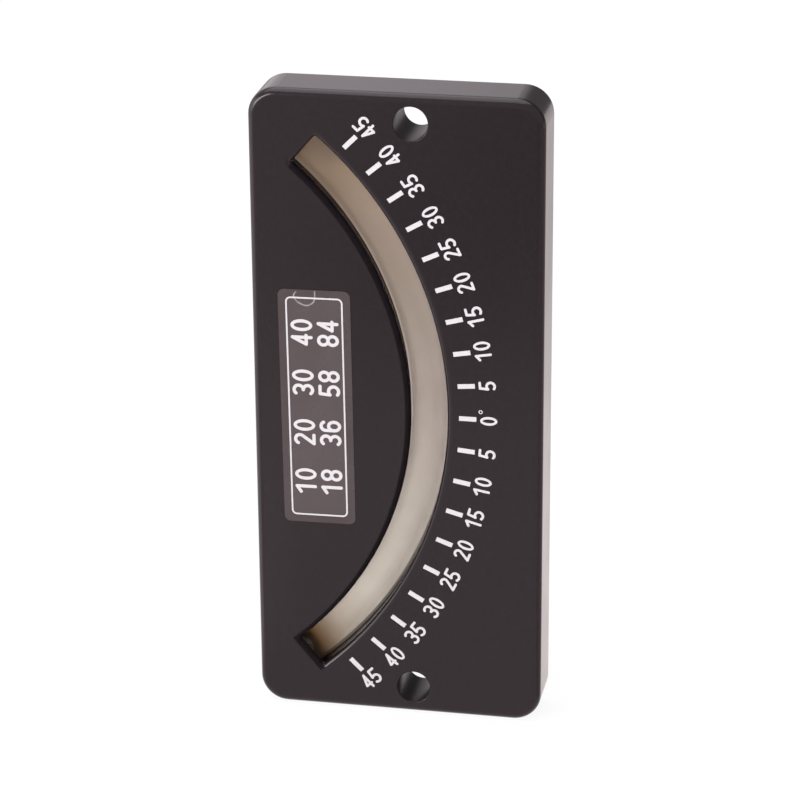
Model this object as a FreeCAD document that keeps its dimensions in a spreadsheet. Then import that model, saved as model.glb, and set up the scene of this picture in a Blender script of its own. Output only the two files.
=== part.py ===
import FreeCAD, Part
import math
import os
import re

import Sketcher
from FreeCAD import Placement, Rotation, Vector

# Ball clinometer standing on its short end, as it is shown.
# X points to the scale side, Y points into the wall and Z points up.
# The origin is the middle of the flat back of the case.
# Turned a quarter turn, with X pointing down, the instrument is in its working position.

# Driving dimensions, in millimetres and degrees
SIZES = {
    # Case. Its outer sizes follow from what it holds and from the margins around that.
    "vial_end_margin": 3.242,
    "vial_side_margin": 1.285,
    "scale_side_margin": 8.3,
    "corner_radius": 5.2,
    "front_edge_radius": 1.5,
    "skin_thickness": 1.35,
    "wall_thickness": 2.0,
    "lip_wall": 1.1,
    # Holes for the screws that hold the instrument
    "hole_radius": 3.15,
    "hole_end_wall": 2.2,
    "hole_offset": 2.8,
    "hole_rim_radius": 0.2,
    "hole_boss_wall": 2.0,
    # Arc that the scale, the window and the vial share
    "bend_radius": 65.2,
    # Window, narrower than the channel by the lips that hold the vial in
    "window_half_angle": 49.3,
    "inner_lip": 0.9,
    "outer_lip": 0.1,
    "window_edge_radius": 1.1,
    "window_corner_radius": 0.5,
    # Channel for the vial behind the window
    "rib_thickness": 1.2,
    "rib_gap": 0.1,
    "pocket_length": 8.0,
    "pocket_end_wall": 0.6,
    # Vial
    "glass_radius": 3.45,
    "glass_wall": 0.5,
    "glass_end_wall": 0.8,
    "vial_end_gap": 0.3,
    "fit_gap": 0.05,
    "seal_recess": 0.2,
    "seal_length": 0.8,
    "plug_length": 5.5,
    "ball_play": 0.17,
    # Reflector behind the vial
    "reflector_thickness": 0.3,
    "reflector_overlap": 3.0,
    # Rubber boots on the ends of the vial
    "boot_wall": 0.3,
    "boot_gap": 0.2,
    "boot_end_gap": 0.5,
    "boot_seat_gap": 0.1,
    # Foam strip behind the reflector
    "cushion_thickness": 0.3,
    "cushion_width": 4.0,
    "cushion_setback": 1.5,
    # Rear cover and its screws
    "cover_thickness": 1.2,
    "cover_gap": 0.15,
    "left_screw_inset": 8.0,
    "left_screw_pitch": 52.0,
    "right_screw_inset": 6.5,
    "right_screw_end_inset": 13.75,
    "screw_boss_radius": 2.5,
    "screw_radius": 1.0,
    "screw_head_radius": 1.85,
    "screw_length": 6.0,
    "screw_tip": 0.8,
    "screw_sink": 0.1,
    "screw_play": 0.1,
    "screw_hole_spare": 0.4,
    "cross_width": 0.45,
    "cross_span": 2.1,
    "cross_depth": 0.55,
    # Printed scale
    "ink_thickness": 0.05,
    "tick_gap": 2.3,
    "tick_length": 3.2,
    "tick_width": 0.9,
    "tick_step_angle": 5.0,
    "tick_limit_angle": 45.0,
    "numeral_clearance": 0.7,
    "numeral_height": 3.2,
    "numeral_width": 1.7,
    "numeral_stroke": 0.48,
    "numeral_gap": 0.4,
    "zero_drop": 0.2,
    "degree_radius": 0.3,
    "degree_stroke": 0.17,
    "degree_drop": 0.1,
    "degree_gap": 0.465,
    # Label, as large as its numbers and border need
    "label_margin": 5.25,
    "label_lift": 0.25,
    "label_corner": 1.2,
    "label_thickness": 0.1,
    "label_lean_angle": 0.65,
    "border_inset": 1.4,
    "border_stroke": 0.3,
    "border_corner": 1.0,
    "figure_height": 4.1,
    "figure_width": 2.3,
    "figure_stroke": 0.62,
    "figure_gap": 0.5,
    "figure_row_gap": 0.8,
    "figure_column_step": 9.8,
    "figure_side_gap": 0.55,
    "figure_end_gap": 4.0,
}

# Degrees on the upper row of the label and their slope in percent on the lower row
LABEL_ROWS = (("10", "20", "30", "40"), ("18", "36", "58", "84"))

NAMES = re.compile(r"\b(" + "|".join(SIZES) + r")\b")

doc = FreeCAD.newDocument("inclinometer")
sheet = doc.addObject("Spreadsheet::Sheet", "sheet")


def fill_sheet():
    """Write every driving dimension to the sheet, with its name beside it."""
    for row, (name, size) in enumerate(SIZES.items(), start=1):
        sheet.set(f"A{row}", name)
        sheet.set(f"B{row}", str(size))
        sheet.setAlias(f"B{row}", name)
    doc.recompute()


def linked(formula):
    """Formula with each name pointing at its cell of the sheet."""
    return NAMES.sub(r"sheet.\1", formula)


def value(formula):
    """Number that a formula of named sizes gives."""
    return float(sheet.evalExpression(linked(formula)))


def turn(length):
    """Formula for the angle, in degrees, that a length takes along the vial."""
    return f"(180 / pi * ({length}) / bend_radius)"


# Formulas that several pieces share. Those with HALF, START or END in their name are angles.
BOOT_OUTER = "(glass_radius + fit_gap + boot_wall)"
REFLECTOR_OUTER = "(glass_radius + fit_gap + reflector_thickness)"
AXIS_DEPTH = f"({REFLECTOR_OUTER} + fit_gap + cushion_thickness + cover_thickness)"
BACK_OF_SKIN = f"({AXIS_DEPTH} + {BOOT_OUTER} + boot_seat_gap)"
CASE_DEPTH = f"({BACK_OF_SKIN} + skin_thickness)"
CHANNEL_INNER = f"(bend_radius - {BOOT_OUTER} - boot_seat_gap)"
CHANNEL_OUTER = f"(bend_radius + {BOOT_OUTER} + boot_seat_gap)"
WINDOW_INNER = f"({CHANNEL_INNER} + inner_lip)"
WINDOW_OUTER = f"({CHANNEL_OUTER} - outer_lip)"
CHANNEL_HALF = f"(window_half_angle + {turn('pocket_length')})"
RIB_HALF = f"({CHANNEL_HALF} + {turn('pocket_end_wall')})"
REFLECTOR_HALF = f"(window_half_angle + {turn('reflector_overlap')})"
VIAL_HALF = f"({CHANNEL_HALF} - {turn('vial_end_gap')})"
BORE_RADIUS = "(glass_radius - glass_wall)"
BORE_LOW_END = f"({VIAL_HALF} - {turn('glass_end_wall')})"
SEAL_START = f"({VIAL_HALF} - {turn('seal_recess')})"
PLUG_START = f"({SEAL_START} - {turn('seal_length')})"
BOOT_START = f"({REFLECTOR_HALF} + {turn('boot_gap')})"
BOOT_LENGTH = "(pocket_length - reflector_overlap - boot_gap - boot_end_gap)"
CUSHION_HALF = f"({REFLECTOR_HALF} - {turn('cushion_setback')})"
BALL_RADIUS = f"({BORE_RADIUS} - ball_play)"
BALL_HALF = f"({BORE_LOW_END} - {turn(BALL_RADIUS + ' + fit_gap')})"
TICK_INNER = f"({WINDOW_OUTER} + tick_gap)"
NUMERAL_MIDDLE = f"({TICK_INNER} + tick_length + numeral_clearance + numeral_height / 2)"
SCALE_EDGE = f"({NUMERAL_MIDDLE} + numeral_height / 2 + scale_side_margin)"
VIAL_EDGE = f"({CHANNEL_INNER} * cos{CHANNEL_HALF} - vial_side_margin)"
CASE_WIDTH = f"({SCALE_EDGE} - {VIAL_EDGE})"
CASE_HEIGHT = f"(2 * ({CHANNEL_OUTER} * sin{CHANNEL_HALF} + vial_end_margin))"
ARC_OFFSET = f"(({SCALE_EDGE} + {VIAL_EDGE}) / 2)"
HOLE_PITCH = f"({CASE_HEIGHT} - 2 * (hole_radius + hole_end_wall))"
HOLE_BOSS_RADIUS = "(hole_radius + hole_boss_wall)"
COUNTERSINK = "(screw_head_radius + screw_sink + fit_gap - screw_radius - screw_play)"
DEGREE_RISE = "(numeral_height / 2 - degree_drop)"
DEGREE_SHIFT = "(numeral_width / 2 - zero_drop + degree_gap + degree_radius + degree_stroke / 2)"
BORDER_EDGE = "(border_inset + border_stroke)"
FIGURE_SPAN = f"({len(LABEL_ROWS[0]) - 1} * figure_column_step + 2 * figure_width + figure_gap)"
LABEL_WIDTH = f"(2 * ({BORDER_EDGE} + figure_side_gap + figure_height) + figure_row_gap)"
LABEL_HEIGHT = f"({FIGURE_SPAN} + 2 * ({BORDER_EDGE} + figure_end_gap))"

# Distance across the case and pitch up it of each pair of cover screws
SCREW_PAIRS = (
    (f"(left_screw_inset - {CASE_WIDTH} / 2)", "left_screw_pitch"),
    (f"({CASE_WIDTH} / 2 - right_screw_inset)", f"({CASE_HEIGHT} - 2 * right_screw_end_inset)"),
)

# Numbers that a sketch gives to the points of a line or arc, and to its own X axis
START, END, CENTRE = range(1, 4)
X_AXIS_INDEX = -1
ORIGIN = (X_AXIS_INDEX, START)

# Share of the fit gap within which two lengths count as the same
NEARNESS_SHARE = 0.1


def bind(item, path, formula):
    """Tie a property to a formula of named sizes."""
    item.setExpression(path, linked(formula))


def add_body(label):
    body = doc.addObject("PartDesign::Body", label)
    body.Label = label
    body.AllowCompound = True
    return body


def add_sketch(body, name, role="XZ_Plane", shift="0", lift="0"):
    """Sketch on one of the body's own planes, shifted along X and lifted along its normal."""
    sketch = body.newObject("Sketcher::SketchObject", f"{body.Label}_{name}")
    plane = next(item for item in body.Origin.OriginFeatures if item.Role == role)
    sketch.AttachmentSupport = [(plane, "")]
    sketch.MapMode = "FlatFace"
    bind(sketch, "AttachmentOffset.Base.x", shift)
    bind(sketch, "AttachmentOffset.Base.z", lift)
    return sketch


def hold(sketch, kind, *places, size=None):
    """Add a constraint, and tie it to a formula when it has a size."""
    if size is None:
        sketch.addConstraint(Sketcher.Constraint(kind, *places))
        return
    number = value(size)
    if kind == "Angle":
        number = math.radians(number)
    index = sketch.addConstraint(Sketcher.Constraint(kind, *places, number))
    bind(sketch, f"Constraints[{index}]", size)


# Sketch shapes


def draw_circle(sketch, across, radius):
    """Circle centred on the X axis of the sketch."""
    circle = Part.Circle(Vector(value(across), 0, 0), Vector(0, 0, 1), value(radius))
    index = sketch.addGeometry(circle)
    hold(sketch, "PointOnObject", index, CENTRE, X_AXIS_INDEX)
    hold(sketch, "DistanceX", *ORIGIN, index, CENTRE, size=across)
    hold(sketch, "Radius", index, size=radius)


def draw_circle_pair(sketch, across, pitch, radius):
    """Two equal circles, one above the other, on both sides of the X axis."""
    circles = []
    for side in (1, -1):
        centre = Vector(value(across), side * value(pitch) / 2, 0)
        circles.append(sketch.addGeometry(Part.Circle(centre, Vector(0, 0, 1), value(radius))))
    upper, lower = circles
    hold(sketch, "Equal", upper, lower)
    hold(sketch, "Symmetric", upper, CENTRE, lower, CENTRE, X_AXIS_INDEX)
    hold(sketch, "Radius", upper, size=radius)
    hold(sketch, "DistanceX", *ORIGIN, upper, CENTRE, size=across)
    hold(sketch, "DistanceY", lower, CENTRE, upper, CENTRE, size=pitch)


def draw_rounded_box(sketch, width, height, radius):
    """Rectangle with round corners about the sketch's origin."""
    bend = value(radius)
    reach = value(width) / 2 - bend
    rise = value(height) / 2 - bend
    arcs = []
    for quarter, (side, level) in enumerate(((1, 1), (-1, 1), (-1, -1), (1, -1))):
        circle = Part.Circle(Vector(side * reach, level * rise, 0), Vector(0, 0, 1), bend)
        start = quarter * math.pi / 2
        arcs.append(sketch.addGeometry(Part.ArcOfCircle(circle, start, start + math.pi / 2)))
    for quarter, arc in enumerate(arcs):
        following = arcs[(quarter + 1) % len(arcs)]
        ends = (sketch.getPoint(arc, END), sketch.getPoint(following, START))
        line = sketch.addGeometry(Part.LineSegment(*ends))
        hold(sketch, "Tangent", arc, END, line, START)
        hold(sketch, "Tangent", line, END, following, START)
        hold(sketch, "Vertical" if quarter % 2 else "Horizontal", line)
        if arc != arcs[0]:
            hold(sketch, "Equal", arcs[0], arc)
    first, left, opposite, low = arcs
    hold(sketch, "Symmetric", first, CENTRE, opposite, CENTRE, *ORIGIN)
    hold(sketch, "Radius", first, size=radius)
    hold(sketch, "DistanceX", left, CENTRE, first, CENTRE, size=f"{width} - 2 * ({radius})")
    hold(sketch, "DistanceY", low, CENTRE, first, CENTRE, size=f"{height} - 2 * ({radius})")


def draw_box(sketch, left, right, half_height):
    """Rectangle between two distances from the origin, even about the X axis."""
    near, far, half = value(left), value(right), value(half_height)
    corners = [(near, -half), (far, -half), (far, half), (near, half)]
    lines = []
    for corner, following in zip(corners, corners[1:] + corners[:1]):
        ends = (Vector(*corner, 0), Vector(*following, 0))
        lines.append(sketch.addGeometry(Part.LineSegment(*ends)))
    for number, line in enumerate(lines):
        hold(sketch, "Coincident", line, END, lines[(number + 1) % len(lines)], START)
    for line, direction in zip(lines, ("Horizontal", "Vertical", "Horizontal")):
        hold(sketch, direction, line)
    low, side, high, _ = lines
    hold(sketch, "Symmetric", low, START, high, END, X_AXIS_INDEX)
    hold(sketch, "DistanceX", *ORIGIN, low, START, size=left)
    hold(sketch, "DistanceX", *ORIGIN, low, END, size=right)
    hold(sketch, "DistanceY", side, START, side, END, size=f"2 * ({half_height})")


def draw_ring_sector(sketch, inner, outer, half_angle):
    """Band between two radii about the origin, even about the X axis."""
    half = math.radians(value(half_angle))
    arcs = []
    for radius in (inner, outer):
        circle = Part.Circle(Vector(), Vector(0, 0, 1), value(radius))
        arc = sketch.addGeometry(Part.ArcOfCircle(circle, -half, half))
        arcs.append(arc)
        hold(sketch, "Coincident", arc, CENTRE, *ORIGIN)
        hold(sketch, "Radius", arc, size=radius)
        hold(sketch, "Symmetric", arc, START, arc, END, X_AXIS_INDEX)
    for end in (START, END):
        ends = (sketch.getPoint(arcs[0], end), sketch.getPoint(arcs[1], end))
        line = sketch.addGeometry(Part.LineSegment(*ends))
        hold(sketch, "Coincident", line, START, arcs[0], end)
        hold(sketch, "Coincident", line, END, arcs[1], end)
    hold(sketch, "PointOnObject", *ORIGIN, line)
    hold(sketch, "Angle", line, size=half_angle)


def draw_half_ring(sketch, across, inner, outer):
    """Half of a ring, open towards negative Y, with its centre on the X axis."""
    centre = Vector(value(across), 0, 0)
    arcs = []
    for radius in (inner, outer):
        circle = Part.Circle(centre, Vector(0, 0, 1), value(radius))
        arc = sketch.addGeometry(Part.ArcOfCircle(circle, 0, math.pi))
        arcs.append(arc)
        hold(sketch, "PointOnObject", arc, START, X_AXIS_INDEX)
        hold(sketch, "PointOnObject", arc, END, X_AXIS_INDEX)
        hold(sketch, "Radius", arc, size=radius)
    hold(sketch, "PointOnObject", arcs[0], CENTRE, X_AXIS_INDEX)
    hold(sketch, "DistanceX", *ORIGIN, arcs[0], CENTRE, size=across)
    hold(sketch, "Coincident", arcs[0], CENTRE, arcs[1], CENTRE)
    for end in (START, END):
        ends = (sketch.getPoint(arcs[0], end), sketch.getPoint(arcs[1], end))
        line = sketch.addGeometry(Part.LineSegment(*ends))
        hold(sketch, "Coincident", line, START, arcs[0], end)
        hold(sketch, "Coincident", line, END, arcs[1], end)


def draw_outline(sketch, points):
    """Closed outline of straight lines through points given as pairs of formulas."""
    corners = [Vector(value(across), value(up), 0) for across, up in points]
    lines = []
    for corner, following in zip(corners, corners[1:] + corners[:1]):
        lines.append(sketch.addGeometry(Part.LineSegment(corner, following)))
    for number, line in enumerate(lines):
        hold(sketch, "Coincident", line, END, lines[(number + 1) % len(lines)], START)
        across, up = points[number]
        hold(sketch, "DistanceX", *ORIGIN, line, START, size=across)
        hold(sketch, "DistanceY", *ORIGIN, line, START, size=up)


def draw_screw_circles(sketch, radius):
    """Equal circles at the places of the four cover screws."""
    for across, pitch in SCREW_PAIRS:
        draw_circle_pair(sketch, across, pitch, radius)


# Features. On the XZ plane the normal points to the front, towards negative Y.


def add_pad(sketch, length):
    body = sketch.getParentGeoFeatureGroup()
    pad = body.newObject("PartDesign::Pad", f"{sketch.Label}_pad")
    pad.Profile = sketch
    bind(pad, "Length", length)
    return pad


def add_pocket(sketch, depth=None):
    """Cut along the sketch's normal, through everything unless a depth is given."""
    body = sketch.getParentGeoFeatureGroup()
    doc.recompute()
    before = body.Shape.Volume
    pocket = body.newObject("PartDesign::Pocket", f"{sketch.Label}_pocket")
    pocket.Profile = sketch
    pocket.Reversed = True
    if depth is None:
        pocket.Type = "ThroughAll"
    else:
        bind(pocket, "Length", depth)
    doc.recompute()
    if pocket.Shape.Volume >= before:
        raise RuntimeError(f"{pocket.Label} cuts nothing")
    return pocket


def add_turned(kind, sketch, angle):
    """Revolution or Groove about the sketch's vertical axis, from its plane downwards."""
    body = sketch.getParentGeoFeatureGroup()
    feature = body.newObject(f"PartDesign::{kind}", f"{sketch.Label}_{kind.lower()}")
    feature.Profile = sketch
    feature.ReferenceAxis = (sketch, ["V_Axis"])
    bind(feature, "Angle", angle)
    doc.recompute()


def add_rounding(feature, edges, radius, kind="Fillet"):
    """Fillet or Chamfer on the edges of a feature that a test picks out."""
    body = feature.getParentGeoFeatureGroup()
    doc.recompute()
    picked = [f"Edge{number}" for number, edge in enumerate(feature.Shape.Edges, 1) if edges(edge)]
    if not picked:
        raise RuntimeError(f"no edges to round on {feature.Label}")
    rounding = body.newObject(f"PartDesign::{kind}", f"{feature.Label}_{kind.lower()}")
    rounding.Base = (feature, picked)
    bind(rounding, "Radius" if kind == "Fillet" else "Size", radius)
    doc.recompute()
    return rounding


def close(first, second):
    return math.isclose(first, second, abs_tol=NEARNESS_SHARE * value("fit_gap"))


def is_flat_at(edge, level):
    """True for an edge that lies in the plane at this Y."""
    return close(edge.BoundBox.YMin, level) and close(edge.BoundBox.YMax, level)


def is_round(edge, radius):
    """True for a circle or arc of this radius."""
    return isinstance(edge.Curve, Part.Circle) and close(edge.Curve.Radius, radius)


def middle_of(edge):
    return edge.valueAt((edge.FirstParameter + edge.LastParameter) / 2)


def arc_distance(point):
    """Distance of a point of the case from the centre of the scale's arc."""
    return math.hypot(point.x + value(ARC_OFFSET), point.z)


# Case


def pad_case_block(body):
    outline = add_sketch(body, "outline")
    draw_rounded_box(outline, CASE_WIDTH, CASE_HEIGHT, "corner_radius")
    block = add_pad(outline, CASE_DEPTH)
    front = -value(CASE_DEPTH)
    add_rounding(block, lambda edge: is_flat_at(edge, front), "front_edge_radius")


def hollow_case(body):
    """Let in the rear cover, then hollow the case behind its front skin."""
    for name, wall, depth in (
        ("rebate", "lip_wall", "cover_thickness"),
        ("cavity", "wall_thickness", BACK_OF_SKIN),
    ):
        sketch = add_sketch(body, name)
        width = f"({CASE_WIDTH} - 2 * {wall})"
        height = f"({CASE_HEIGHT} - 2 * {wall})"
        draw_rounded_box(sketch, width, height, f"(corner_radius - {wall})")
        add_pocket(sketch, depth)


def add_channel(body):
    """Two curved ribs beside the vial, which also close the pockets at its ends, and the window."""
    shift = f"-{ARC_OFFSET}"
    ribs = add_sketch(body, "ribs", shift=shift, lift="cover_thickness + rib_gap")
    inner, outer = f"{CHANNEL_INNER} - rib_thickness", f"{CHANNEL_OUTER} + rib_thickness"
    draw_ring_sector(ribs, inner, outer, RIB_HALF)
    add_pad(ribs, f"{BACK_OF_SKIN} - cover_thickness - rib_gap")
    channel = add_sketch(body, "channel", shift=shift)
    draw_ring_sector(channel, CHANNEL_INNER, CHANNEL_OUTER, CHANNEL_HALF)
    add_pocket(channel, BACK_OF_SKIN)
    window = add_sketch(body, "window", shift=shift)
    draw_ring_sector(window, WINDOW_INNER, WINDOW_OUTER, "window_half_angle")
    add_pocket(window)


def add_bosses(body):
    """Pillars for the two mounting holes and for the four cover screws."""
    holes = add_sketch(body, "hole_bosses")
    draw_circle_pair(holes, "hole_offset", HOLE_PITCH, HOLE_BOSS_RADIUS)
    add_pad(holes, BACK_OF_SKIN)
    screws = add_sketch(body, "screw_bosses", lift="cover_thickness")
    draw_screw_circles(screws, "screw_boss_radius")
    add_pad(screws, f"{BACK_OF_SKIN} - cover_thickness")


def drill_case(body):
    holes = add_sketch(body, "holes")
    draw_circle_pair(holes, "hole_offset", HOLE_PITCH, "hole_radius")
    add_pocket(holes)
    pilots = add_sketch(body, "pilots")
    draw_screw_circles(pilots, "screw_radius + fit_gap")
    add_pocket(pilots, "screw_sink + screw_length + screw_hole_spare")


def round_window(body):
    """Round the window's four corners, then its front edge and the rims of the holes."""
    inner, outer = value(WINDOW_INNER), value(WINDOW_OUTER)
    half_angle = math.radians(value("window_half_angle"))
    front, skin_back = -value(CASE_DEPTH), -value(BACK_OF_SKIN)
    hole_radius = value("hole_radius")
    slack = value("fit_gap")

    def is_corner(edge):
        point = middle_of(edge)
        spans_skin = close(edge.BoundBox.YMin, front) and close(edge.BoundBox.YMax, skin_back)
        radius = arc_distance(point)
        return spans_skin and (close(radius, inner) or close(radius, outer))

    def is_window_edge(edge):
        point = middle_of(edge)
        in_band = inner - slack < arc_distance(point) < outer + slack
        in_length = abs(point.z) < outer * math.sin(half_angle)
        return is_flat_at(edge, front) and in_band and in_length

    corners = add_rounding(body.Tip, is_corner, "window_corner_radius")
    rim = add_rounding(corners, is_window_edge, "window_edge_radius")
    add_rounding(
        rim,
        lambda edge: is_flat_at(edge, front) and is_round(edge, hole_radius),
        "hole_rim_radius",
    )


def make_front_housing():
    body = add_body("front_housing")
    pad_case_block(body)
    hollow_case(body)
    add_bosses(body)
    add_channel(body)
    drill_case(body)
    round_window(body)


def make_rear_cover():
    body = add_body("rear_cover")
    outline = add_sketch(body, "outline")
    edge = "(lip_wall + cover_gap)"
    width = f"({CASE_WIDTH} - 2 * {edge})"
    height = f"({CASE_HEIGHT} - 2 * {edge})"
    draw_rounded_box(outline, width, height, f"(corner_radius - {edge})")
    add_pad(outline, "cover_thickness")
    notches = add_sketch(body, "notches")
    draw_circle_pair(notches, "hole_offset", HOLE_PITCH, f"{HOLE_BOSS_RADIUS} + cover_gap")
    add_pocket(notches)
    holes = add_sketch(body, "holes")
    clear = "screw_radius + screw_play"
    draw_screw_circles(holes, clear)
    drilled = add_pocket(holes)
    hole_radius = value(clear)
    add_rounding(
        drilled,
        lambda edge: is_flat_at(edge, 0) and is_round(edge, hole_radius),
        COUNTERSINK,
        kind="Chamfer",
    )


def make_cover_screw(number, across, up):
    """Countersunk screw with a cross recess, its head just below the back of the cover."""
    body = add_body(f"cover_screw_{number}")
    profile = add_sketch(body, "profile", role="XY_Plane")
    neck = "-(screw_head_radius - screw_radius)"
    draw_outline(profile, (
        ("0", "0"),
        ("screw_head_radius", "0"),
        ("screw_radius", neck),
        ("screw_radius", "-(screw_length - screw_tip)"),
        ("0", "-screw_length"),
    ))
    add_turned("Revolution", profile, "360")
    sides = ("cross_span", "cross_width")
    for name, (width, height) in (("slot", sides), ("bar", sides[::-1])):
        recess = add_sketch(body, name)
        draw_box(recess, f"-{width} / 2", f"{width} / 2", f"{height} / 2")
        add_pocket(recess, "cross_depth")
    bind(body, "Placement.Base.x", across)
    bind(body, "Placement.Base.y", "-screw_sink")
    bind(body, "Placement.Base.z", up)


def make_cover_screws():
    number = 0
    for across, pitch in SCREW_PAIRS:
        for up in (f"{pitch} / 2", f"-{pitch} / 2"):
            number += 1
            make_cover_screw(number, across, up)


# Vial and what lies along its bend


def add_bent_body(label, start):
    """Body whose XY plane cuts the bend at the start angle, above the middle."""
    body = add_body(label)
    body.Placement = Placement(Vector(), Rotation(Vector(0, 1, 0), -value(start)))
    bind(body, "Placement.Base.x", f"-{ARC_OFFSET}")
    bind(body, "Placement.Base.y", f"-{AXIS_DEPTH}")
    bind(body, "Placement.Rotation.Angle", f"-{start}")
    return body


def make_vial_tube():
    body = add_bent_body("vial_tube", VIAL_HALF)
    outside = add_sketch(body, "outside", role="XY_Plane")
    draw_circle(outside, "bend_radius", "glass_radius")
    add_turned("Revolution", outside, f"2 * {VIAL_HALF}")
    bore = add_sketch(body, "bore", role="XY_Plane")
    draw_circle(bore, "bend_radius", BORE_RADIUS)
    add_turned("Groove", bore, f"{VIAL_HALF} + {BORE_LOW_END}")


def make_bent_rod(label, start, length, radius):
    """Solid round piece that follows the bend of the vial."""
    body = add_bent_body(label, start)
    section = add_sketch(body, "section", role="XY_Plane")
    draw_circle(section, "bend_radius", radius)
    add_turned("Revolution", section, turn(length))


def make_vial_boot(label, start):
    body = add_bent_body(label, start)
    section = add_sketch(body, "section", role="XY_Plane")
    draw_circle(section, "bend_radius", BOOT_OUTER)
    draw_circle(section, "bend_radius", "glass_radius + fit_gap")
    add_turned("Revolution", section, turn(BOOT_LENGTH))


def make_reflector_strip():
    body = add_bent_body("reflector_strip", REFLECTOR_HALF)
    section = add_sketch(body, "section", role="XY_Plane")
    draw_half_ring(section, "bend_radius", "glass_radius + fit_gap", REFLECTOR_OUTER)
    add_turned("Revolution", section, f"2 * {REFLECTOR_HALF}")


def make_cushion_strip():
    """Foam strip that lies on the cover and follows the bend."""
    body = add_body("cushion_strip")
    outline = add_sketch(body, "outline", lift="cover_thickness")
    half = "cushion_width / 2"
    draw_ring_sector(outline, f"bend_radius - {half}", f"bend_radius + {half}", CUSHION_HALF)
    add_pad(outline, "cushion_thickness")
    bind(body, "Placement.Base.x", f"-{ARC_OFFSET}")


def make_sensing_ball():
    """Ball at rest on the closed lower end of the vial."""
    ball = doc.addObject("Part::Sphere", "sensing_ball")
    ball.Label = "sensing_ball"
    bind(ball, "Radius", BALL_RADIUS)
    bind(ball, "Placement.Base.x", f"bend_radius * cos{BALL_HALF} - {ARC_OFFSET}")
    bind(ball, "Placement.Base.y", f"-{AXIS_DEPTH}")
    bind(ball, "Placement.Base.z", f"-bend_radius * sin{BALL_HALF}")


# Printed scale


def make_scale_ticks():
    body = add_body("scale_ticks")
    tick = add_sketch(body, "tick")
    draw_box(tick, TICK_INNER, f"{TICK_INNER} + tick_length", "tick_width / 2")
    pad = add_pad(tick, "ink_thickness")
    doc.recompute()
    pattern = body.newObject("PartDesign::PolarPattern", "scale_ticks_pattern")
    pattern.Originals = [pad]
    pattern.Axis = (tick, ["N_Axis"])
    bind(pattern, "Angle", "2 * tick_limit_angle")
    bind(pattern, "Occurrences", "2 * tick_limit_angle / tick_step_angle + 1")
    body.Tip = pattern
    body.Placement = Placement(Vector(), Rotation(Vector(0, 1, 0), value("tick_limit_angle")))
    bind(body, "Placement.Base.x", f"-{ARC_OFFSET}")
    bind(body, "Placement.Base.y", f"-{CASE_DEPTH}")
    bind(body, "Placement.Rotation.Angle", "tick_limit_angle")


class Pen:
    """Draws digits as round-ended strokes of one width, as flat faces."""

    def __init__(self, height, width, stroke):
        self.height = height
        self.width = width
        self.stroke = stroke
        self.left = stroke / 2
        self.right = width - stroke / 2
        self.middle = width / 2
        self.base = stroke / 2
        self.top = height - stroke / 2
        self.waist = height / 2

    def line(self, *points):
        """Straight pieces of a centre line, from point to point."""
        corners = [Vector(*point, 0) for point in points]
        return [Part.makeLine(*ends) for ends in zip(corners, corners[1:])]

    def bend(self, level, radius, start, end):
        """Round piece of a centre line that touches the digit's right side, between two angles."""
        centre = Vector(self.right - radius, level, 0)
        return Part.makeCircle(radius, centre, Vector(0, 0, 1), start, end)

    def on_bend(self, level, radius, angle):
        """Point of such a bend at an angle."""
        turned = math.radians(angle)
        across = self.right - radius + radius * math.cos(turned)
        return (across, level + radius * math.sin(turned))

    def bar(self, start, end):
        """Straight stroke between two points of its centre line."""
        start, end = Vector(*start, 0), Vector(*end, 0)
        reach = (end - start).normalize() * (self.stroke / 2)
        side = Vector(-reach.y, reach.x, 0)
        edges = [
            Part.makeLine(start + side, end + side),
            Part.Arc(end + side, end + reach, end - side).toShape(),
            Part.makeLine(end - side, start - side),
            Part.Arc(start - side, start - reach, start + side).toShape(),
        ]
        return Part.Face(Part.Wire(edges))

    def draw(self, *edges):
        """Stroke along a chain of edges that bends."""
        chain = Part.Wire(Part.__sortEdges__(list(edges)))
        return Part.Face(chain.makeOffset2D(self.stroke / 2))

    def loop(self, low, high):
        """Closed oval stroke between two levels of its centre line."""
        centre = Vector(self.middle, (low + high) / 2, 0)
        faces = []
        for grow in (self.stroke / 2, -self.stroke / 2):
            tall = (high - low) / 2 + grow
            wide = self.right - self.middle + grow
            oval = Part.Ellipse(centre, max(tall, wide), min(tall, wide))
            if tall > wide:
                oval.XAxis = Vector(0, 1, 0)
            faces.append(Part.Face(Part.Wire(oval.toShape())))
        outer, inner = faces
        return outer.cut(inner)


# Shares of a digit's height or width, or angles, that shape the strokes
FLAG_TIP_SHARE = (0.18, 0.74)
STEM_SHARE = 0.66
FOUR_STEM_SHARE = 0.70
FOUR_BAR_SHARE = 0.30
FIVE_BOWL_SHARE = 0.27
FIVE_SHOULDER_SHARE = 0.10
SIX_LOOP_SHARE = 0.58
SEVEN_FOOT_SHARE = 0.30
HOOK_ANGLE = 24
BOWL_HOOK_ANGLE = 38
TAIL_ANGLE = 230
SHOULDER_ANGLE = 134
SLANT_ANGLE = -36


def zero(pen):
    return [pen.loop(pen.base, pen.top)]


def one(pen):
    stem = STEM_SHARE * pen.width
    tip = (FLAG_TIP_SHARE[0] * pen.width, FLAG_TIP_SHARE[1] * pen.height)
    return [pen.draw(*pen.line(tip, (stem, pen.top), (stem, pen.base)))]


def two(pen):
    radius = (pen.right - pen.left) / 2
    level = pen.top - radius
    crown = pen.bend(level, radius, SLANT_ANGLE, 180 - HOOK_ANGLE)
    start = pen.on_bend(level, radius, SLANT_ANGLE)
    return [pen.draw(crown, *pen.line(start, (pen.left, pen.base), (pen.right, pen.base)))]


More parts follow.
